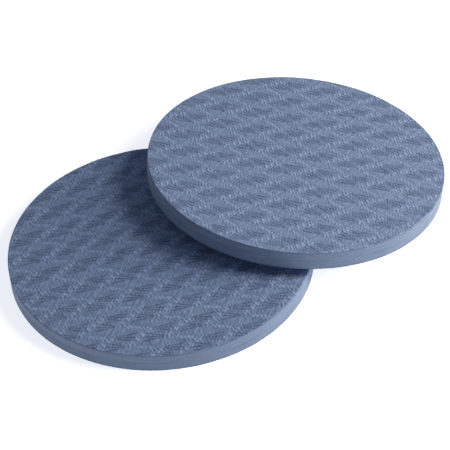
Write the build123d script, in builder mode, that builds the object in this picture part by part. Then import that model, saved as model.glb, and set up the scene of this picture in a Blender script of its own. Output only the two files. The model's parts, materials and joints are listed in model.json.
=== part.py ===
"""Two round foam balance pads, one flat on the floor and one leaning on its rim.

Frame: millimetres, +Z up. The origin is the centre of the lower pad's underside,
and +X points from the lower pad towards the edge on which the upper pad rests.
Each pad is two plies of closed-cell foam, fused face to face at mid-height.
"""

import os
from math import atan2, cos, degrees, sin

from build123d import *

# Driving dimensions -------------------------------------------------------------

pad_diameter = 220.0  # both pads are cut with the same round knife
bottom_ply_thickness = 7.5  # the ply that faces the floor
top_ply_thickness = 7.5  # the ply that faces up
lean_reach = 121.0  # plan distance from the lower pad's rim to the upper pad's resting edge
rest_clearance = 0.3  # free height left between the two pads where they meet

# Derived dimensions -------------------------------------------------------------

pad_radius = pad_diameter / 2
pad_thickness = bottom_ply_thickness + top_ply_thickness

# The upper pad's underside runs from its resting edge on the floor, up past the
# top rim of the lower pad, and on over the lower pad.
lean_angle = atan2(pad_thickness + rest_clearance, lean_reach)
upper_centre_x = pad_radius + lean_reach - pad_radius * cos(lean_angle)
upper_centre_z = pad_radius * sin(lean_angle)

lower_underside = Plane.XY
upper_underside = Plane(
    origin=(upper_centre_x, 0, upper_centre_z),
    x_dir=(cos(lean_angle), 0, -sin(lean_angle)),
    z_dir=(sin(lean_angle), 0, cos(lean_angle)),
)

os.makedirs("parts", exist_ok=True)


# Lower pad, flat on the floor ---------------------------------------------------

with BuildPart() as lower_pad_bottom_ply:
    with BuildSketch(lower_underside):
        Circle(pad_radius)
    extrude(amount=bottom_ply_thickness)

lower_pad_bottom_ply.part.label = "lower_pad_bottom_ply"
export_step(lower_pad_bottom_ply.part, "parts/lower_pad_bottom_ply.step")

with BuildPart() as lower_pad_top_ply:
    with BuildSketch(lower_underside.offset(bottom_ply_thickness)):
        Circle(pad_radius)
    extrude(amount=top_ply_thickness)

lower_pad_top_ply.part.label = "lower_pad_top_ply"
export_step(lower_pad_top_ply.part, "parts/lower_pad_top_ply.step")


# Upper pad, leaning on the lower pad's rim --------------------------------------

with BuildPart() as upper_pad_bottom_ply:
    with BuildSketch(upper_underside):
        Circle(pad_radius)
    extrude(amount=bottom_ply_thickness)

upper_pad_bottom_ply.part.label = "upper_pad_bottom_ply"
export_step(upper_pad_bottom_ply.part, "parts/upper_pad_bottom_ply.step")

with BuildPart() as upper_pad_top_ply:
    with BuildSketch(upper_underside.offset(bottom_ply_thickness)):
        Circle(pad_radius)
    extrude(amount=top_ply_thickness)

upper_pad_top_ply.part.label = "upper_pad_top_ply"
export_step(upper_pad_top_ply.part, "parts/upper_pad_top_ply.step")


print(f"lean angle {degrees(lean_angle):.2f} deg, upper pad centre x {upper_centre_x:.2f} mm")
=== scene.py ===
"""Two round foam balance pads, one flat on the floor and one leaning on its rim.

Each pad is two plies of closed-cell foam, fused at mid-height. The outer face of every
ply is embossed all over with a repeat of fronds: recessed fans of veins meeting at a
waist of beads. The edge is cut through the emboss with a knife, and left smooth.
"""

import json
import logging
import math
from dataclasses import dataclass, field
from enum import Enum
from typing import Any, Dict, List, Optional, Sequence, Tuple, Union

import bpy
from mathutils import Matrix, Vector


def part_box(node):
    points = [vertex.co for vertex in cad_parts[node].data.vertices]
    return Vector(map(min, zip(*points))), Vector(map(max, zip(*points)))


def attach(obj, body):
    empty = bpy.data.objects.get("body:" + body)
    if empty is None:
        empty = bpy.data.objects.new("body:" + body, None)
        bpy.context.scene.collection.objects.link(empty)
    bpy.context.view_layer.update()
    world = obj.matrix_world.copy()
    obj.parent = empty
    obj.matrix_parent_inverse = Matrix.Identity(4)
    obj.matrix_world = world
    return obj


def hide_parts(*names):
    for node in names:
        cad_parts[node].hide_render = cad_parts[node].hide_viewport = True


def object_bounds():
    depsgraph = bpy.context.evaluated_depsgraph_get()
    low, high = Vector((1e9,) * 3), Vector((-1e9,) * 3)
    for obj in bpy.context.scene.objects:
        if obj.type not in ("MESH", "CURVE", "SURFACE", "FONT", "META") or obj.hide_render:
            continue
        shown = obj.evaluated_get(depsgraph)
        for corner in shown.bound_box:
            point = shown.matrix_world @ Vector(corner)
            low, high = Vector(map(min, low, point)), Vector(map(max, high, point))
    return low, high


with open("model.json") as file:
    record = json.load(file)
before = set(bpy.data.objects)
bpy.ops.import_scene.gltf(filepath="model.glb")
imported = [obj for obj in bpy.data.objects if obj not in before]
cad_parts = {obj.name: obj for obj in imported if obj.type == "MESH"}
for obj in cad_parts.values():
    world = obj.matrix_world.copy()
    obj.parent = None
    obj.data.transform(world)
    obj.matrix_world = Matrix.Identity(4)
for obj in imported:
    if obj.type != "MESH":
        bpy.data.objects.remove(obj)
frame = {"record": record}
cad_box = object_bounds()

MM = 0.001
FULL_TURN = 2.0 * math.pi
WELD = 0.01 * MM
TOP_SLOT = "top_ply_foam"
BOTTOM_SLOT = "bottom_ply_foam"

log = logging.getLogger("foam_pads")

Colour = Tuple[float, float, float, float]
Point = Tuple[float, float]
Socket = bpy.types.NodeSocket


# Node trees written as arithmetic ------------------------------------------------


class Graph:
    """A node tree under construction, for a material or for geometry."""

    def __init__(self, tree: bpy.types.NodeTree) -> None:
        """Keeps the tree that every new node is added to."""
        self.tree = tree

    def node(
        self,
        kind: str,
        settings: Optional[Dict[str, Any]] = None,
        values: Optional[Dict[Union[int, str], Any]] = None,
    ) -> bpy.types.Node:
        """Adds a node.

        Args:
            kind: the node's type name.
            settings: the node's own properties, set before its sockets.
            values: a value, a socket or a Field for each input, by name or number.

        Returns:
            The new node.
        """
        made = self.tree.nodes.new(kind)
        for name, setting in (settings or {}).items():
            setattr(made, name, setting)
        for key, value in (values or {}).items():
            self.feed(made.inputs[key], value)
        return made

    def feed(self, socket: Socket, value: Any) -> None:
        """Links a Field or a socket to an input, or sets its own value.

        Args:
            socket: the input.
            value: a Field, a socket or a plain value.
        """
        if isinstance(value, Field):
            self.tree.links.new(value.socket, socket)
        elif isinstance(value, Socket):
            self.tree.links.new(value, socket)
        else:
            socket.default_value = value

    def field(self, node: bpy.types.Node, output: Union[int, str] = 0) -> "Field":
        """Wraps one output of a node, for arithmetic."""
        return Field(self, node.outputs[output])

    def math(self, operation: str, *values: Any) -> "Field":
        """Adds a Math node and returns its result."""
        numbered = dict(enumerate(values))
        return self.field(self.node("ShaderNodeMath", {"operation": operation}, numbered))

    def vector(self, x: Any, y: Any, z: Any) -> Socket:
        """Joins three numbers into a vector."""
        return self.node("ShaderNodeCombineXYZ", values={0: x, 1: y, 2: z}).outputs[0]

    def split(self, vector: Any) -> Tuple["Field", "Field", "Field"]:
        """Splits a vector into three numbers."""
        parts = self.node("ShaderNodeSeparateXYZ", values={0: vector})
        return self.field(parts, 0), self.field(parts, 1), self.field(parts, 2)

    def dot(self, first: Any, second: Any) -> "Field":
        """Returns the dot product of two vectors."""
        kind, settings = "ShaderNodeVectorMath", {"operation": "DOT_PRODUCT"}
        return self.field(self.node(kind, settings, {0: first, 1: second}), "Value")

    def noise(self, at: Any, scale: float, detail: float = 2.0, rough: float = 0.5) -> "Field":
        """Returns smooth noise from 0 to 1.

        Args:
            at: the vector at which the noise is read.
            scale: how many swings there are in one unit of that vector.
            detail: how many finer octaves are added.
            rough: the strength of each finer octave against the last.

        Returns:
            The noise, centred on a half.
        """
        made = self.node(
            "ShaderNodeTexNoise",
            {"noise_dimensions": "3D"},
            {"Vector": at, "Scale": scale, "Detail": detail, "Roughness": rough},
        )
        return self.field(made, 0)

    def blend(self, share: Any, first: Any, second: Any) -> Socket:
        """Mixes two colours.

        Args:
            share: 0 for the first colour alone, and 1 for the second.
            first: the first colour.
            second: the second colour.

        Returns:
            The mixed colour.
        """
        made = self.node("ShaderNodeMix", {"data_type": "RGBA"})
        sockets = [s for s in made.inputs if s.enabled]
        for socket, value in zip(sockets, (share, first, second)):
            self.feed(socket, value)
        return next(s for s in made.outputs if s.enabled)

    def position(self) -> Socket:
        """Returns the place of each point of a mesh."""
        return self.node("GeometryNodeInputPosition").outputs[0]

    def moved(self, mesh: Socket, values: Dict[str, Any]) -> Socket:
        """Moves points of a mesh to a Position, or by an Offset."""
        made = self.node("GeometryNodeSetPosition", values={"Geometry": mesh, **values})
        return made.outputs[0]

    def turned(self, mesh: Socket, shift: Any, rotation: Any) -> Socket:
        """Turns a mesh about the origin, and then shifts it."""
        values = {"Geometry": mesh, "Translation": shift, "Rotation": rotation}
        return self.node("GeometryNodeTransform", values=values).outputs[0]


class Field:
    """A number that varies over a surface: one output socket, with arithmetic."""

    def __init__(self, graph: Graph, socket: Socket) -> None:
        """Wraps the socket, in the graph that holds its node."""
        self.graph = graph
        self.socket = socket

    def __add__(self, other: Any) -> "Field":
        """Returns self + other."""
        return self.graph.math("ADD", self, other)

    def __radd__(self, other: Any) -> "Field":
        """Returns other + self."""
        return self.graph.math("ADD", other, self)

    def __sub__(self, other: Any) -> "Field":
        """Returns self - other."""
        return self.graph.math("SUBTRACT", self, other)

    def __rsub__(self, other: Any) -> "Field":
        """Returns other - self."""
        return self.graph.math("SUBTRACT", other, self)

    def __mul__(self, other: Any) -> "Field":
        """Returns self * other."""
        return self.graph.math("MULTIPLY", self, other)

    def __rmul__(self, other: Any) -> "Field":
        """Returns other * self."""
        return self.graph.math("MULTIPLY", other, self)

    def __truediv__(self, other: Any) -> "Field":
        """Returns self / other."""
        return self.graph.math("DIVIDE", self, other)

    def __rtruediv__(self, other: Any) -> "Field":
        """Returns other / self."""
        return self.graph.math("DIVIDE", other, self)

    def __neg__(self) -> "Field":
        """Returns -self."""
        return self.graph.math("MULTIPLY", self, -1.0)

    def sin(self) -> "Field":
        """Returns the sine, of radians."""
        return self.graph.math("SINE", self)

    def cos(self) -> "Field":
        """Returns the cosine, of radians."""
        return self.graph.math("COSINE", self)

    def exp(self) -> "Field":
        """Returns e to the power of self."""
        return self.graph.math("EXPONENT", self)

    def root(self) -> "Field":
        """Returns the square root."""
        return self.graph.math("SQRT", self)

    def size(self) -> "Field":
        """Returns the value without its sign."""
        return self.graph.math("ABSOLUTE", self)

    def angle(self, x: Any) -> "Field":
        """Returns the direction of (x, self), in radians."""
        return self.graph.math("ARCTAN2", self, x)

    def over(self, other: Any) -> "Field":
        """Returns 1 where self is greater than other, and 0 elsewhere."""
        return self.graph.math("GREATER_THAN", self, other)

    def centred(self) -> "Field":
        """Returns noise moved down so that it swings about 0."""
        return self - 0.5

    def wrapped(self) -> "Field":
        """Returns the signed distance to the nearest whole number."""
        return self - self.graph.math("ROUND", self)

    def clamped(self) -> "Field":
        """Returns the value held between 0 and 1."""
        return self.graph.field(self.graph.node("ShaderNodeClamp", values={0: self}))

    def step(self, low: float, high: float) -> "Field":
        """Returns a smooth step.

        Args:
            low: where the step is 0.
            high: where the step is 1, which may be less than low.

        Returns:
            The step, from 0 to 1.
        """
        settings = {"interpolation_type": "SMOOTHSTEP"}
        down = high < low
        ends = {
            "Value": self,
            "From Min": high if down else low,
            "From Max": low if down else high,
            "To Min": 1.0 if down else 0.0,
            "To Max": 0.0 if down else 1.0,
        }
        return self.graph.field(self.graph.node("ShaderNodeMapRange", settings, ends))


# The embossed repeat -------------------------------------------------------------


@dataclass(frozen=True)
class Turned:
    """A place in the plane, as two fields in millimetres."""

    x: Field
    y: Field

    def turn(self, degrees: float) -> "Turned":
        """Returns the place seen along axes turned by that much."""
        c, s = math.cos(math.radians(degrees)), math.sin(math.radians(degrees))
        return Turned(self.x * c + self.y * s, self.y * c - self.x * s)

    def flip(self, sign: float) -> "Turned":
        """Returns the place turned half a turn when sign is -1."""
        return self if sign > 0 else Turned(-self.x, -self.y)

    def radius(self) -> Field:
        """Returns the distance from the origin."""
        return (self.x * self.x + self.y * self.y).root()

    def bump(self, length: float, width: float) -> Field:
        """Returns a smooth mound, 1 high, with those half-sizes along x and y."""
        along, across = self.x / length, self.y / width
        return (-(along * along + across * across)).exp()


@dataclass(frozen=True)
class Repeat:
    """The cell of the repeat, in millimetres: a slightly leaning rectangle."""

    length: float = 26.0
    drop: float = 20.97
    lean: float = 2.35

    def near(self, place: Turned, centre: Point) -> Turned:
        """Returns the place as seen from the nearest copy of a feature.

        Args:
            place: the place in the sheet.
            centre: where the feature lies in the first cell.

        Returns:
            The offset from the nearest copy's centre.
        """
        x, y = place.x - centre[0], place.y - centre[1]
        rows = y / -self.drop
        columns = ((x - rows * self.lean) / self.length).wrapped()
        rows = rows.wrapped()
        return Turned(columns * self.length + rows * self.lean, rows * -self.drop)


@dataclass(frozen=True)
class Fan:
    """The recessed end of a frond, with veins that spread from its tip."""

    reach: Point = (-17.0, 5.8)
    middle: Point = (6.0, -2.6)
    low_edge: float = -48.0
    high_edge: float = 8.0
    soft_edge: float = 10.0
    vein_pitch: float = 13.75
    first_groove: float = -4.7
    full_to: float = 12.5
    gone_at: float = 19.0
    tip_from: float = 0.3
    tip_to: float = 2.5
    depth: float = 0.3
    groove: float = 1.0
    sharpness: float = 3.5
    ring_pitch: float = 2.1
    ring: float = 0.07

    def height(self, sheet: Turned, repeat: Repeat, heart: Point, sign: float) -> Field:
        """Returns this end's height, below 0 in the recess.

        Args:
            sheet: the place in the sheet.
            repeat: the cell of the repeat.
            heart: the frond's middle.
            sign: 1 for the end on the left, and -1 for its half-turned twin.

        Returns:
            The height to add.
        """
        shift = (self.reach[0] + self.middle[0], self.reach[1] + self.middle[1])
        centre = (heart[0] + sign * shift[0], heart[1] + sign * shift[1])
        place = repeat.near(sheet, centre).flip(sign)
        place = Turned(place.x + self.middle[0], place.y + self.middle[1])
        radius = place.radius()
        degrees = place.y.angle(place.x) * math.degrees(1.0)
        inside = degrees.step(self.low_edge, self.low_edge + self.soft_edge)
        inside = inside * degrees.step(self.high_edge, self.high_edge - self.soft_edge)
        inside = inside * radius.step(self.gone_at, self.full_to)
        inside = inside * radius.step(self.tip_from, self.tip_to)
        veins = ((degrees - self.first_groove) * (FULL_TURN / self.vein_pitch)).cos()
        grooves = ((veins - 1.0) * self.sharpness).exp()
        rings = (radius * (FULL_TURN / self.ring_pitch)).cos()
        return -(inside * (self.depth + self.groove * grooves + self.ring * rings))


@dataclass(frozen=True)
class BeadRow:
    """A row of long beads, spread like points seen round the side of a drum.

    turns holds each bead's angle round the drum, and past end_turn a bead is an end one.
    """

    heart: Point
    direction: float
    turns: Sequence[float]
    span: float
    bead_turn: float = -78.0
    length: float = 2.2
    width: float = 1.2
    height_mid: float = 0.9
    height_end: float = 0.45
    end_turn: float = 60.0

    def height(self, sheet: Turned, repeat: Repeat) -> Field:
        """Returns the height of all the beads.

        Args:
            sheet: the place in the sheet.
            repeat: the cell of the repeat.

        Returns:
            The height to add, above 0.
        """
        c = math.cos(math.radians(self.direction))
        s = math.sin(math.radians(self.direction))
        total: Any = 0.0
        for turn in self.turns:
            along = self.span * math.sin(math.radians(turn))
            centre = (self.heart[0] + along * c, self.heart[1] + along * s)
            tall = self.height_end if abs(turn) > self.end_turn else self.height_mid
            bead = repeat.near(sheet, centre).turn(self.bead_turn)
            total = total + bead.bump(self.length, self.width) * tall
        return total


@dataclass(frozen=True)
class Arcs:
    """A pale frond between the dark ones: veins bowed round a far centre."""

    bow: float = 13.0
    offset: Point = (-18.6, -1.35)
    pitch: float = 2.13
    band: float = 5.3
    opening: float = 27.0
    lead: float = 18.0
    vein: float = -0.32

    def height(self, sheet: Turned, repeat: Repeat, heart: Point, sign: float) -> Field:
        """Returns the height of the bowed veins.

        Args:
            sheet: the place in the sheet.
            repeat: the cell of the repeat.
            heart: the pale frond's middle.
            sign: 1 for the veins on the left, and -1 for their half-turned twins.

        Returns:
            The height to add, above and below 0.
        """
        lift = self.bow * math.sin(math.radians(self.lead))
        shift = (self.offset[0] + self.bow, self.offset[1] + lift)
        centre = (heart[0] + sign * shift[0], heart[1] + sign * shift[1])
        place = repeat.near(sheet, centre).flip(sign)
        place = Turned(place.x + self.bow, place.y + lift)
        radius = place.radius()
        degrees = place.y.angle(place.x) * math.degrees(1.0)
        mask = Turned(radius - self.bow, degrees - self.lead).bump(self.band, self.opening)
        waves = ((radius - self.bow) * (FULL_TURN / self.pitch)).cos()
        return mask * waves * self.vein


@dataclass(frozen=True)
class Stem:
    """A broad stem with one deep furrow beside it."""

    centre: Point = (21.6, -8.6)
    direction: float = 58.8
    length: float = 3.7
    width: float = 2.0
    pitch: float = 4.5
    rise: float = 0.25
    furrow: float = 0.55

    def height(self, sheet: Turned, repeat: Repeat) -> Field:
        """Returns the height of the stem and its furrow.

        Args:
            sheet: the place in the sheet.
            repeat: the cell of the repeat.

        Returns:
            The height to add, above and below 0.
        """
        place = repeat.near(sheet, self.centre).turn(self.direction)
        waves = (place.y * (FULL_TURN / self.pitch)).cos()
        return place.bump(self.length, self.width) * (self.rise - self.furrow * waves)


@dataclass(frozen=True)
class Stitches:
    """A patch of short stitches in staggered rows, which fades out at its edges."""

    centre: Point
    direction: float
    half_length: float
    half_width: float
    pitch: float
    stitch: float
    rise: float

    def height(self, sheet: Turned, repeat: Repeat) -> Field:
        """Returns the height of the stitches.

        Args:
            sheet: the place in the sheet.
            repeat: the cell of the repeat.

        Returns:
            The height to add, above and below 0.
        """
        place = repeat.near(sheet, self.centre).turn(self.direction)
        along = (place.x * (FULL_TURN / self.pitch)).cos()
        across = (place.y * (FULL_TURN / self.stitch)).cos()
        return place.bump(self.half_length, self.half_width) * along * across * self.rise


@dataclass(frozen=True)
class Hollow:
    """A soft dip in the sheet."""

    centre: Point
    length: float
    width: float
    depth: float
    direction: float = 0.0

    def height(self, sheet: Turned, repeat: Repeat) -> Field:
        """Returns the dip's height, below 0."""
        place = repeat.near(sheet, self.centre).turn(self.direction)
        return place.bump(self.length, self.width) * -self.depth


@dataclass(frozen=True)
class FrondEmboss:
    """The whole embossed repeat, as a height from 0, deepest, to 1, the sheet's top."""

    repeat: Repeat = Repeat()
    heart: Point = (10.35, 0.95)
    pale_heart: Point = (11.6, -9.9)
    fan: Fan = Fan()
    arcs: Arcs = Arcs()
    stem: Stem = Stem()
    # centre, direction, half length, half width, pitch, stitch, rise
    stitches: Tuple[Stitches, ...] = (
        Stitches((10.2, 0.8), -5.0, 8.5, 4.2, 2.4, 5.3, 0.62),
        Stitches((13.5, -10.2), -12.0, 7.7, 4.2, 2.6, 7.0, -0.5),
        Stitches((2.6, -5.3), -9.5, 3.4, 3.4, 2.9, 9.3, 0.75),
        Stitches((18.6, 5.3), -13.5, 3.5, 3.2, 3.1, 5.5, 0.75),
        Stitches((22.5, -12.8), -16.5, 5.5, 5.1, 2.1, 6.4, -0.5),
        Stitches((24.0, 1.0), 35.0, 4.0, 4.5, 2.3, 4.0, 0.5),
    )
    # centre, length, width, depth, direction
    hollows: Tuple[Hollow, ...] = (
        Hollow((10.0, -8.9), 3.7, 4.4, 0.45),
        Hollow((14.9, -10.8), 4.1, 2.8, 0.45),
        Hollow((23.4, 0.95), 4.5, 2.2, 0.36, -50.0),
    )
    level: float = 0.5
    share: float = 0.36

    def bead_rows(self) -> List[BeadRow]:
        """Sets out the beads.

        Returns:
            The row across the waist, and the low row on the pale frond.
        """
        waist = BeadRow(
            self.heart,
            direction=25.5,
            turns=(-75.0, -45.0, -15.0, 15.0, 45.0, 75.0),
            span=9.0,
        )
        low = BeadRow(
            self.pale_heart,
            direction=-23.5,
            turns=(-50.0, -15.0, 20.0, 55.0),
            span=5.0,
            bead_turn=-45.0,
            length=2.1,
            width=1.4,
            height_mid=0.75,
            height_end=0.75,
        )
        return [waist, low]

    def height(self, sheet: Turned) -> Field:
        """Adds up every feature of the repeat.

        Args:
            sheet: the place in the sheet.

        Returns:
            The height, from 0 to 1.
        """
        total: Any = 0.0
        for sign in (1.0, -1.0):
            total = total + self.fan.height(sheet, self.repeat, self.heart, sign)
            total = total + self.arcs.height(sheet, self.repeat, self.pale_heart, sign)
        for part in (*self.bead_rows(), *self.stitches, *self.hollows, self.stem):
            total = total + part.height(sheet, self.repeat)
        return (total * self.share + self.level).clamped()


@dataclass(frozen=True)
class SheetLay:
    """How the embossed sheet lies on a pad: the film is stretched a little as it is laid.

    The start is where the repeat's own origin falls, in millimetres from the pad's middle.
    """

    start: Point
    length_turn: float
    width_turn: float
    length_stretch: float = 1.0
    width_stretch: float = 1.0

    def inverse(self) -> Matrix:
        """Works out the way back from the pad to the flat sheet.

        Returns:
            The matrix from a place on the pad to a place in the repeat.
        """
        a, b = math.radians(self.length_turn), math.radians(self.width_turn)
        u, v = self.length_stretch, self.width_stretch
        laid = Matrix(((u * math.cos(a), -v * math.sin(b)), (u * math.sin(a), v * math.cos(b))))
        return laid.inverted()


# One ply, as geometry nodes ------------------------------------------------------


class OuterFace(Enum):
    """Which way a ply's embossed face looks in its pad."""

    UP = 0.0
    DOWN = math.pi


FULL_FINENESS = {OuterFace.UP: 500, OuterFace.DOWN: 290}


@dataclass(frozen=True)
class CutEdge:
    """The knife-cut edge: how far in from the rim, and how far down, each ring lies.

    Depths are in millimetres below the embossed face, and for the seam's rings above the
    seam. The skin gives way to the cut between cut_from and cut_to, and the emboss fades
    out down the edge between fade_from and fade_to.
    """

    face_rings: Tuple[Point, ...] = ((0.06, 0.14), (0.0, 0.4), (0.0, 1.7))
    seam_rings: Tuple[Point, ...] = ((0.0, 0.3), (0.03, 0.06), (0.1, 0.0))
    middle_share: float = 0.55
    face_inset: float = 0.22
    cut_from: float = 0.05
    cut_to: float = 0.3
    fade_from: float = 0.1
    fade_to: float = 1.8
    seam_face_shares: Tuple[float, ...] = (0.6, 0.25, 0.06, 0.0)

    def rings(self, radius: float, thickness: float) -> List[Point]:
        """Returns every ring's radius and height, from the face down to the seam's middle.

        Args:
            radius: the pad's radius, in metres.
            thickness: the ply's thickness, in metres.

        Returns:
            Pairs of radius and height, in metres, with the embossed face at 0.
        """
        made = [(radius - inset * MM, -depth * MM) for inset, depth in self.face_rings]
        made.append((radius, -thickness * self.middle_share))
        made += [(radius - inset * MM, up * MM - thickness) for inset, up in self.seam_rings]
        made += [(radius * share, -thickness) for share in self.seam_face_shares]
        return made


@dataclass(frozen=True)
class Pebbles:
    """The uneven swell of the foam under the emboss, from two sizes of noise."""

    small_scale: float = 0.6
    broad_scale: float = 0.4
    broad_share: float = 0.5

    def height(self, graph: Graph, place: Socket) -> Field:
        """Works out the swell.

        Args:
            graph: the tree under construction.
            place: the place in the sheet, with the seed as its third number.

        Returns:
            The swell, centred on 0.
        """
        small = graph.noise(place, self.small_scale, detail=0.0).centred()
        broad = graph.noise(place, self.broad_scale, detail=0.0).centred()
        return small + broad * self.broad_share


@dataclass(frozen=True)
class RimWaver:
    """How the round knife strays as it cuts: a slow drift and a quick shake."""

    starts_at: float = 0.97
    slow_scale: float = 28.0
    slow_share: float = 1.6
    quick_scale: float = 420.0
    quick_share: float = 0.35

    def shift(self, graph: Graph, place: Socket) -> Field:
        """Works out how the knife strays.

        Args:
            graph: the tree under construction.
            place: the vector at which the noises are read.

        Returns:
            How far out the knife strays, for a waver of 1.
        """
        slow = graph.noise(place, self.slow_scale, detail=1.0).centred()
        quick = graph.noise(place, self.quick_scale, detail=1.0).centred()
        return slow * self.slow_share + quick * self.quick_share


@dataclass
class PlyTree:
    """The node tree that shapes any ply, from named sizes."""

    radius: float
    thickness: float
    emboss: FrondEmboss = field(default_factory=FrondEmboss)
    edge: CutEdge = field(default_factory=CutEdge)
    pebbles: Pebbles = field(default_factory=Pebbles)
    waver: RimWaver = field(default_factory=RimWaver)
    relief_name: str = "relief"
    cut_name: str = "cut"
    place_name: str = "pad_place"

    INPUTS = (
        ("Fineness", "NodeSocketInt"),
        ("Relief Depth", "NodeSocketFloat"),
        ("Repeat X", "NodeSocketVector"),
        ("Repeat Y", "NodeSocketVector"),
        ("Turn Over", "NodeSocketFloat"),
        ("Face Height", "NodeSocketFloat"),
        ("Lean", "NodeSocketFloat"),
        ("Pad Place", "NodeSocketVector"),
        ("Pebbles", "NodeSocketFloat"),
        ("Rim Waver", "NodeSocketFloat"),
        ("Seed", "NodeSocketFloat"),
        ("Foam", "NodeSocketMaterial"),
    )

    def build(self) -> bpy.types.NodeTree:
        """Makes the tree.

        Returns:
            The finished tree, with one named input for each size.
        """
        tree = bpy.data.node_groups.new("embossed_ply", "GeometryNodeTree")
        for name, kind in self.INPUTS:
            tree.interface.new_socket(name, in_out="INPUT", socket_type=kind)
        tree.interface.new_socket("Mesh", in_out="OUTPUT", socket_type="NodeSocketGeometry")
        graph = Graph(tree)
        given = {socket.name: socket for socket in graph.node("NodeGroupInput").outputs}
        mesh = self.disc(graph, given["Fineness"])
        mesh = self.walls(graph, mesh)
        mesh = self.relief(graph, mesh, given)
        mesh = self.placed(graph, mesh, given)
        solid = graph.node("GeometryNodeRealizeInstances", values={"Geometry": mesh})
        smooth = graph.node("GeometryNodeSetShadeSmooth", values={"Geometry": solid.outputs[0]})
        dressed = graph.node(
            "GeometryNodeSetMaterial",
            values={"Geometry": smooth.outputs[0], "Material": given["Foam"]},
        )
        graph.node("NodeGroupOutput", values={"Mesh": dressed.outputs[0]})
        return tree

    def disc(self, graph: Graph, fineness: Socket) -> Socket:
        """Draws a square grid out to a disc, with cells of one size all over.

        Args:
            graph: the tree under construction.
            fineness: how many points lie along each side of the grid.

        Returns:
            The disc's mesh.
        """
        sizes = {"Size X": 2.0, "Size Y": 2.0, "Vertices X": fineness, "Vertices Y": fineness}
        grid = graph.node("GeometryNodeMeshGrid", values=sizes)
        x, y, _ = graph.split(graph.position())
        wide = x.size().over(y.size())
        tall = 1.0 - wide
        reach = x * wide + y * tall
        eighth = math.pi / 4.0
        turn = wide * (y / x) * eighth + tall * (2.0 * eighth - x / y * eighth)
        reach = reach * (self.radius - self.edge.face_inset * MM)
        place = graph.vector(reach * turn.cos(), reach * turn.sin(), 0.0)
        return graph.moved(grid.outputs["Mesh"], {"Position": place})

    def walls(self, graph: Graph, mesh: Socket) -> Socket:
        """Draws the disc's rim down the edge, and in over the seam to the middle.

        Args:
            graph: the tree under construction.
            mesh: the disc.

        Returns:
            The closed ply, before it is embossed.
        """
        faces = graph.field(graph.node("GeometryNodeInputMeshEdgeNeighbors"), "Face Count")
        rim = graph.math("LESS_THAN", faces, 2.0).socket
        for radius, height in self.edge.rings(self.radius, self.thickness):
            drawn = graph.node(
                "GeometryNodeExtrudeMesh",
                {"mode": "EDGES"},
                {"Mesh": mesh, "Selection": rim, "Offset Scale": 0.0},
            )
            rim = drawn.outputs["Top"]
            x, y, _ = graph.split(graph.position())
            turn = y.angle(x)
            place = graph.vector(turn.cos() * radius, turn.sin() * radius, height)
            mesh = graph.moved(drawn.outputs["Mesh"], {"Selection": rim, "Position": place})
        values = {"Geometry": mesh, "Selection": rim, "Distance": WELD}
        return graph.node("GeometryNodeMergeByDistance", values=values).outputs[0]

    def store(self, graph: Graph, mesh: Socket, name: str, kind: str, value: Any) -> Socket:
        """Keeps a value at every point of a mesh.

        Args:
            graph: the tree under construction.
            mesh: the mesh.
            name: the name that a material reads the value by.
            kind: the value's data type.
            value: the value.

        Returns:
            The mesh, with the value.
        """
        settings = {"data_type": kind, "domain": "POINT"}
        stored = graph.node("GeometryNodeStoreNamedAttribute", settings)
        graph.feed(stored.inputs["Geometry"], mesh)
        graph.feed(stored.inputs["Name"], name)
        slot = [s for s in stored.inputs if s.name == "Value" and s.enabled][0]
        graph.feed(slot, value)
        return stored.outputs[0]

    def relief(self, graph: Graph, mesh: Socket, given: Dict[str, Socket]) -> Socket:
        """Presses the emboss in, from the face down the top of the edge.

        Args:
            graph: the tree under construction.
            mesh: the closed ply.
            given: the tree's inputs, by name.

        Returns:
            The embossed ply, with its rim wavering as it was cut.
        """
        position = graph.position()
        x, y, z = graph.split(position)
        mesh = self.store(graph, mesh, self.place_name, "FLOAT_VECTOR", position)
        spot = graph.vector(x / MM, y / MM, 1.0)
        sheet = Turned(graph.dot(spot, given["Repeat X"]), graph.dot(spot, given["Repeat Y"]))
        swell = self.pebbles.height(graph, graph.vector(sheet.x, sheet.y, given["Seed"]))
        height = (self.emboss.height(sheet) + swell * given["Pebbles"]).clamped()
        mesh = self.store(graph, mesh, self.relief_name, "FLOAT", height)
        cut = (z / MM).step(-self.edge.cut_from, -self.edge.cut_to)
        mesh = self.store(graph, mesh, self.cut_name, "FLOAT", cut)
        fade = (z / MM).step(-self.edge.fade_to, -self.edge.fade_from)
        press = (height - 1.0) * given["Relief Depth"] * fade
        radius = (x * x + y * y).root()
        outer = (radius / self.radius).step(self.waver.starts_at, 1.0)
        stray = self.waver.shift(graph, graph.vector(x, y, given["Seed"]))
        stray = stray * given["Rim Waver"] * outer
        offset = graph.vector(x / radius * stray, y / radius * stray, press)
        return graph.moved(mesh, {"Offset": offset})

    def placed(self, graph: Graph, mesh: Socket, given: Dict[str, Socket]) -> Socket:
        """Turns the ply over if its face looks down, and lays it in its pad's place.

        Args:
            graph: the tree under construction.
            mesh: the embossed ply.
            given: the tree's inputs, by name.

        Returns:
            The ply in the object's frame.
        """
        over = graph.vector(given["Turn Over"], 0.0, 0.0)
        mesh = graph.turned(mesh, graph.vector(0.0, 0.0, given["Face Height"]), over)
        lean = graph.vector(0.0, given["Lean"], 0.0)
        return graph.turned(mesh, given["Pad Place"], lean)


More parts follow.
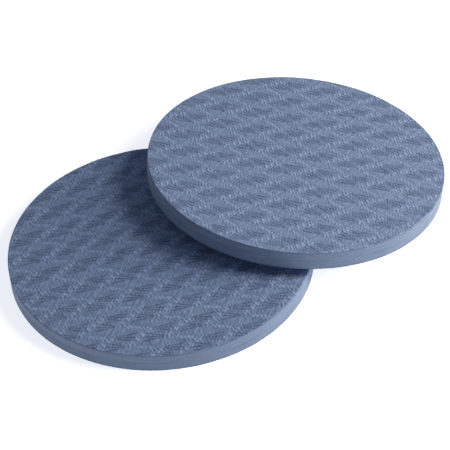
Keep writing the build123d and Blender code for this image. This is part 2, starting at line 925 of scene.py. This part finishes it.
def baked(name: str, tree: bpy.types.NodeTree, values: Dict[str, Any]) -> bpy.types.Object:
    """Runs a tree once and keeps its result as a plain mesh.

    Args:
        name: the new object's name.
        tree: the geometry node tree.
        values: the tree's inputs, by name.

    Returns:
        An object at the origin, with no modifier.
    """
    piece = bpy.data.objects.new(name, bpy.data.meshes.new(name))
    bpy.context.scene.collection.objects.link(piece)
    modifier = piece.modifiers.new("shape", "NODES")
    modifier.node_group = tree
    for item in tree.interface.items_tree:
        if item.item_type == "SOCKET" and item.in_out == "INPUT" and item.name in values:
            modifier[item.identifier] = values[item.name]
    bpy.context.view_layer.update()
    graph = bpy.context.evaluated_depsgraph_get()
    mesh = bpy.data.meshes.new_from_object(piece.evaluated_get(graph))
    piece.modifiers.remove(modifier)
    piece.data = mesh
    mesh.name = name
    return piece


# Finishes ------------------------------------------------------------------------


@dataclass(frozen=True)
class Grain:
    """The foam's uneven tone, as three noises from 0 to 1."""

    pores: Field
    clouds: Field
    strokes: Field


@dataclass(frozen=True)
class FoamFinish:
    """Matte closed-cell foam: an embossed skin, and a smoother edge where it is cut.

    The cut's lip is a soft dark line just under the skin. Its depth and width are in
    millimetres, and the heights of the pores and of the knife's strokes in metres. The skin's
    colour carries painted shade, dark in the emboss's grooves and pale on its crests.
    """

    name: str
    cut: Colour
    cut_deep: Colour
    # Painted shade and light: the skin is coloured from this dark tone in the emboss's grooves to
    # the next, pale tone on its crests.
    valley_painted_shade: Colour = (0.038, 0.069, 0.152, 1.0)
    crest_painted_light: Colour = (0.332, 0.447, 0.72, 1.0)
    pore_scale: float = 1500.0
    cloud_scale: float = 95.0
    stroke_scale_round: float = 40.0
    stroke_scale_up: float = 2400.0
    skin_speckle: float = 0.35
    skin_cloud: float = 0.18
    skin_rough: float = 0.78
    rough_speckle: float = 0.12
    crest_polish: float = 0.06
    cut_tone: float = 0.6
    cut_speckle: float = 0.8
    cut_streak: float = 1.3
    cut_cloud: float = 0.5
    cut_rough: float = 0.62
    lip_depth: float = 0.75
    lip_width: float = 0.5
    lip_dark: float = 0.55
    pores: float = 0.00012
    pores_cut_away: float = 0.4
    knife: float = 0.0001
    specular: float = 0.35
    sheen: float = 0.12
    sheen_rough: float = 0.5

    def material(self, shape: PlyTree) -> bpy.types.Material:
        """Makes the foam's material.

        Args:
            shape: the tree that names the values kept on the mesh.

        Returns:
            The new material.
        """
        made = bpy.data.materials.new(self.name)
        made.use_nodes = True
        made.node_tree.nodes.clear()
        graph = Graph(made.node_tree)
        relief = self.kept(graph, shape.relief_name, "Fac")
        cut = self.kept(graph, shape.cut_name, "Fac")
        place = self.kept(graph, shape.place_name, "Vector").socket
        grain = self.grain(graph, place)
        skin = self.skin_colour_and_shade(graph, relief, grain)
        wall = self.wall_colour(graph, graph.split(place)[2], grain)
        rise = grain.pores * (self.pores * (1.0 - cut * self.pores_cut_away))
        rise = rise + grain.strokes * cut * self.knife
        bump = {"Strength": 1.0, "Distance": 1.0, "Height": rise}
        values = {
            "Base Color": graph.blend(cut, skin, wall),
            "Roughness": self.roughness(relief, cut, grain),
            "Normal": graph.node("ShaderNodeBump", values=bump).outputs[0],
            "Specular IOR Level": self.specular,
            "Sheen Weight": self.sheen,
            "Sheen Roughness": self.sheen_rough,
        }
        shader = graph.node("ShaderNodeBsdfPrincipled", values=values)
        graph.node("ShaderNodeOutputMaterial", values={"Surface": shader.outputs[0]})
        return made

    @staticmethod
    def kept(graph: Graph, name: str, output: str) -> Field:
        """Returns a value kept at the mesh's points."""
        settings = {"attribute_type": "GEOMETRY", "attribute_name": name}
        return graph.field(graph.node("ShaderNodeAttribute", settings), output)

    def grain(self, graph: Graph, place: Socket) -> Grain:
        """Makes the foam's noises.

        Args:
            graph: the material under construction.
            place: the place on the ply, in metres.

        Returns:
            The pores, the clouds and the knife's strokes, which run round the edge.
        """
        x, y, z = graph.split(place)
        around, up = self.stroke_scale_round, self.stroke_scale_up
        along = graph.vector(x * around, y * around, z * up)
        return Grain(
            pores=graph.noise(place, self.pore_scale, detail=2.0, rough=0.6),
            clouds=graph.noise(place, self.cloud_scale, detail=3.0, rough=0.55),
            strokes=graph.noise(along, 1.0, detail=2.0),
        )

    def skin_colour_and_shade(self, graph: Graph, relief: Field, grain: Grain) -> Socket:
        """Colours the skin, with shade and light painted in by the emboss's height.

        Args:
            graph: the material under construction.
            relief: the emboss's height, from 0 to 1.
            grain: the foam's noises.

        Returns:
            The colour, with painted shade dark in the grooves and painted light pale on the
            crests.
        """
        # Painted shade: the emboss's height darkens the grooves and lightens the crests, then the
        # foam's grain is added.
        tone = relief + grain.pores.centred() * self.skin_speckle
        tone = tone + grain.clouds.centred() * self.skin_cloud
        return graph.blend(tone.clamped(), self.valley_painted_shade, self.crest_painted_light)

    def wall_colour(self, graph: Graph, height: Field, grain: Grain) -> Socket:
        """Colours the cut edge.

        Args:
            graph: the material under construction.
            height: the height from the ply's face, below 0, in metres.
            grain: the foam's noises.

        Returns:
            The colour, streaked by the knife and darker at the lip.
        """
        lip = (height / MM + self.lip_depth) / self.lip_width
        lip = (-(lip * lip)).exp()
        lit = self.cut_tone + grain.pores.centred() * self.cut_speckle
        lit = lit + grain.strokes.centred() * self.cut_streak
        lit = lit + grain.clouds.centred() * self.cut_cloud
        return graph.blend((lit - lip * self.lip_dark).clamped(), self.cut_deep, self.cut)

    def roughness(self, relief: Field, cut: Field, grain: Grain) -> Field:
        """Works out how rough the foam is.

        Args:
            relief: the emboss's height, from 0 to 1.
            cut: 1 on the cut edge, and 0 on the skin.
            grain: the foam's noises.

        Returns:
            The roughness of the skin, or of the edge where it is cut.
        """
        skin = self.skin_rough + grain.pores.centred() * self.rough_speckle
        skin = skin - relief * self.crest_polish
        edge = self.cut_rough + grain.strokes.centred() * self.rough_speckle
        return skin * (1.0 - cut) + cut * edge


@dataclass(frozen=True)
class PlainFinish:
    """A plain painted studio surface, which glows a little."""

    name: str
    colour: Colour
    glow: float
    glow_colour: Colour = (0.99, 1.0, 1.03, 1.0)
    rough: float = 0.9

    def material(self) -> bpy.types.Material:
        """Makes the surface's material.

        Returns:
            The new material.
        """
        made = bpy.data.materials.new(self.name)
        made.use_nodes = True
        made.node_tree.nodes.clear()
        graph = Graph(made.node_tree)
        values = {
            "Base Color": self.colour,
            "Roughness": self.rough,
            "Emission Color": self.glow_colour,
            "Emission Strength": self.glow,
        }
        shader = graph.node("ShaderNodeBsdfPrincipled", values=values)
        graph.node("ShaderNodeOutputMaterial", values={"Surface": shader.outputs[0]})
        return made


# The pads ------------------------------------------------------------------------


@dataclass(frozen=True)
class Ply:
    """One ply of foam: its node, its slot, and how its embossed face lies."""

    node: str
    slot: str
    face: OuterFace
    lay: SheetLay
    seed: float


@dataclass
class FoamPad:
    """A pad of two fused plies, which moves as one body."""

    body: str
    centre: Vector
    lean: float
    plies: Tuple[Ply, Ply]
    relief_depth: float = 0.55 * MM
    rim_waver: float = 0.25 * MM
    pebbles: float = 0.34

    def build(
        self,
        tree: bpy.types.NodeTree,
        shape: PlyTree,
        foams: Dict[str, bpy.types.Material],
        fineness: Dict[OuterFace, int],
    ) -> None:
        """Makes both plies and fixes them to the body.

        Args:
            tree: the tree that shapes a ply.
            shape: the sizes that the tree was built from.
            foams: the materials, by slot.
            fineness: how many points lie across a ply, by the way its face looks.
        """
        for ply in self.plies:
            start = Vector(ply.lay.start)
            first, second = ply.lay.inverse()
            up = ply.face is OuterFace.UP
            values = {
                "Fineness": fineness[ply.face],
                "Relief Depth": self.relief_depth,
                "Repeat X": (first[0], first[1], -first.dot(start)),
                "Repeat Y": (second[0], second[1], -second.dot(start)),
                "Turn Over": ply.face.value,
                "Face Height": 2.0 * shape.thickness if up else 0.0,
                "Lean": self.lean,
                "Pad Place": tuple(self.centre),
                "Pebbles": self.pebbles,
                "Rim Waver": self.rim_waver,
                "Seed": ply.seed,
                "Foam": foams[ply.slot],
            }
            piece = baked(ply.node + "_foam", tree, values)
            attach(piece, self.body)
            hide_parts(ply.node)
            log.info("%s: %d faces, rides on %s", piece.name, len(piece.data.polygons), self.body)


def lower_pad() -> FoamPad:
    """Sets out the pad that lies flat on the floor.

    Returns:
        The pad, centred on the origin.
    """
    under = SheetLay((6.0, 11.0), 24.0, 24.0)
    over = SheetLay((-0.4, -0.1), -17.6, -22.0, 1.068, 0.997)
    plies = (
        Ply("lower_pad_bottom_ply", BOTTOM_SLOT, OuterFace.DOWN, under, seed=1.7),
        Ply("lower_pad_top_ply", TOP_SLOT, OuterFace.UP, over, seed=4.1),
    )
    return FoamPad("lower_pad", Vector((0.0, 0.0, 0.0)), 0.0, plies)


def upper_pad(thickness: float) -> FoamPad:
    """Sets out the pad that leans on the lower one.

    Args:
        thickness: the thickness of one ply, in metres.

    Returns:
        The pad, at the place and lean that its standing face gives.
    """
    centre, lean = leaning_place(thickness)
    under = SheetLay((-9.0, 4.0), 61.0, 61.0)
    over = SheetLay((4.0, -26.2), -48.8, -45.4, 0.97, 1.022)
    plies = (
        Ply("upper_pad_bottom_ply", BOTTOM_SLOT, OuterFace.DOWN, under, seed=7.3),
        Ply("upper_pad_top_ply", TOP_SLOT, OuterFace.UP, over, seed=9.2),
    )
    return FoamPad("upper_pad", centre, lean, plies)


def ply_sizes(node: str) -> Tuple[float, float]:
    """Returns the radius and the thickness of a ply that lies flat, from its node's box."""
    low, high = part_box(node)
    return (high.y - low.y) / 2.0, high.z - low.z


def leaning_place(thickness: float) -> Tuple[Vector, float]:
    """Finds the upper pad from the mount on its top face.

    Args:
        thickness: the thickness of one ply, in metres.

    Returns:
        The centre of the pad's underside, and its lean in radians.
    """
    mounts = {mount["name"]: mount for mount in frame["record"]["mounts"]}
    face = mounts["standing_face"]
    normal = Vector(face["axis"]).normalized()
    lean = math.atan2(normal.x, normal.z)
    return Vector(face["pos_m"]) - normal * (2.0 * thickness), lean


# The studio ----------------------------------------------------------------------


@dataclass(frozen=True)
class Camera:
    """A long lens on the pads. Angles are in degrees, and lengths in metres."""

    azimuth: float = -34.1
    elevation: float = 42.21
    roll: float = -3.46
    distance: float = 1.414
    aim_right: float = 0.0455
    aim_up: float = 0.0255
    lens: float = 156.5
    sensor: float = 36.0
    nearest: float = 0.05
    farthest: float = 50.0

    def build(self) -> None:
        """Makes the camera and sets it as the scene's own."""
        data = bpy.data.cameras.new("camera")
        data.lens = self.lens
        data.sensor_width = self.sensor
        data.clip_start, data.clip_end = self.nearest, self.farthest
        camera = bpy.data.objects.new("camera", data)
        a, e = math.radians(self.azimuth), math.radians(self.elevation)
        back = Vector((math.sin(a) * math.cos(e), -math.cos(a) * math.cos(e), math.sin(e)))
        right = Vector((math.cos(a), math.sin(a), 0.0))
        up = back.cross(right)
        roll = math.radians(self.roll)
        c, s = math.cos(roll), math.sin(roll)
        right, up = right * c + up * s, up * c - right * s
        place = back * self.distance + right * self.aim_right + up * self.aim_up
        turn = Matrix((right, up, back)).transposed().to_4x4()
        camera.matrix_world = Matrix.Translation(place) @ turn
        bpy.context.scene.collection.objects.link(camera)
        bpy.context.scene.camera = camera


@dataclass(frozen=True)
class SoftBox:
    """A square soft light, aimed at the pads."""

    name: str
    azimuth: float
    elevation: float
    distance: float
    width: float
    watts: float
    colour: Tuple[float, float, float]

    def build(self, target: Vector) -> None:
        """Makes the light.

        Args:
            target: the point it is aimed at.
        """
        data = bpy.data.lights.new(self.name, "AREA")
        data.size = self.width
        data.energy = self.watts
        data.color = self.colour
        light = bpy.data.objects.new(self.name, data)
        a, e = math.radians(self.azimuth), math.radians(self.elevation)
        away = Vector((math.cos(a) * math.cos(e), math.sin(a) * math.cos(e), math.sin(e)))
        light.location = target + away * self.distance
        light.rotation_euler = away.to_track_quat("Z", "Y").to_euler()
        bpy.context.scene.collection.objects.link(light)


@dataclass(frozen=True)
class Studio:
    """A white floor, two soft lights on the right, and an even surround.

    The surround is dimmer as a light than the pale backdrop it is seen as.
    """

    floor_width: float = 12.0
    floor: PlainFinish = PlainFinish("studio_floor", (0.9, 0.9, 0.9, 1.0), 0.70)
    surround: float = 0.195
    surround_colour: Colour = (0.88, 0.96, 1.12, 1.0)
    backdrop: Colour = (0.86, 0.88, 0.91, 1.0)
    # name, azimuth, elevation, distance, width, watts, colour
    lights: Tuple[SoftBox, ...] = (
        SoftBox("low_key", -35.0, 15.0, 1.4, 0.58, 16.0, (1.0, 0.9, 0.74)),
        SoftBox("high_key", -45.0, 42.0, 1.4, 0.58, 11.4, (0.98, 0.95, 0.88)),
    )

    def build(self) -> None:
        """Makes the floor, the lights and the surround."""
        self.build_floor()
        low, high = cad_box
        for light in self.lights:
            light.build((low + high) / 2.0)
        self.build_surround()
        bpy.context.scene.view_settings.view_transform = "Standard"

    def build_floor(self) -> None:
        """Makes the floor."""
        half = self.floor_width / 2.0
        mesh = bpy.data.meshes.new("studio_floor")
        corners = [(-half, -half, 0.0), (half, -half, 0.0), (half, half, 0.0), (-half, half, 0.0)]
        mesh.from_pydata(corners, [], [(0, 1, 2, 3)])
        mesh.materials.append(self.floor.material())
        floor = bpy.data.objects.new("studio_floor", mesh)
        bpy.context.scene.collection.objects.link(floor)

    def build_surround(self) -> None:
        """Makes the world: an even fill light, seen as a pale backdrop."""
        world = bpy.data.worlds.new("surround")
        world.use_nodes = True
        world.node_tree.nodes.clear()
        graph = Graph(world.node_tree)
        fill = {"Color": self.surround_colour, "Strength": self.surround}
        cast = graph.node("ShaderNodeBackground", values=fill)
        seen = graph.node("ShaderNodeBackground", values={"Color": self.backdrop})
        path = graph.node("ShaderNodeLightPath").outputs["Is Camera Ray"]
        parts = {0: path, 1: cast.outputs[0], 2: seen.outputs[0]}
        mixed = graph.node("ShaderNodeMixShader", values=parts)
        graph.node("ShaderNodeOutputWorld", values={"Surface": mixed.outputs[0]})
        bpy.context.scene.world = world


def foam_materials(shape: PlyTree) -> Dict[str, bpy.types.Material]:
    """Makes both foams, which differ a little where they are cut.

    Args:
        shape: the tree that names the values kept on the mesh.

    Returns:
        The materials, by slot.
    """
    finishes = (
        FoamFinish(
            TOP_SLOT,
            cut=(0.161, 0.227, 0.362, 1.0),
            cut_deep=(0.076, 0.114, 0.202, 1.0),
        ),
        FoamFinish(
            BOTTOM_SLOT,
            cut=(0.156, 0.221, 0.352, 1.0),
            cut_deep=(0.071, 0.109, 0.196, 1.0),
        ),
    )
    return {finish.name: finish.material(shape) for finish in finishes}


def main() -> None:
    """Builds the studio and both pads."""
    logging.basicConfig(level=logging.INFO, format="%(message)s")
    Camera().build()
    Studio().build()
    radius, thickness = ply_sizes("lower_pad_bottom_ply")
    shape = PlyTree(radius, thickness)
    tree = shape.build()
    foams = foam_materials(shape)
    fineness = FULL_FINENESS
    for pad in (lower_pad(), upper_pad(thickness)):
        pad.build(tree, shape, foams, fineness)


if __name__ == "__main__":
    main()
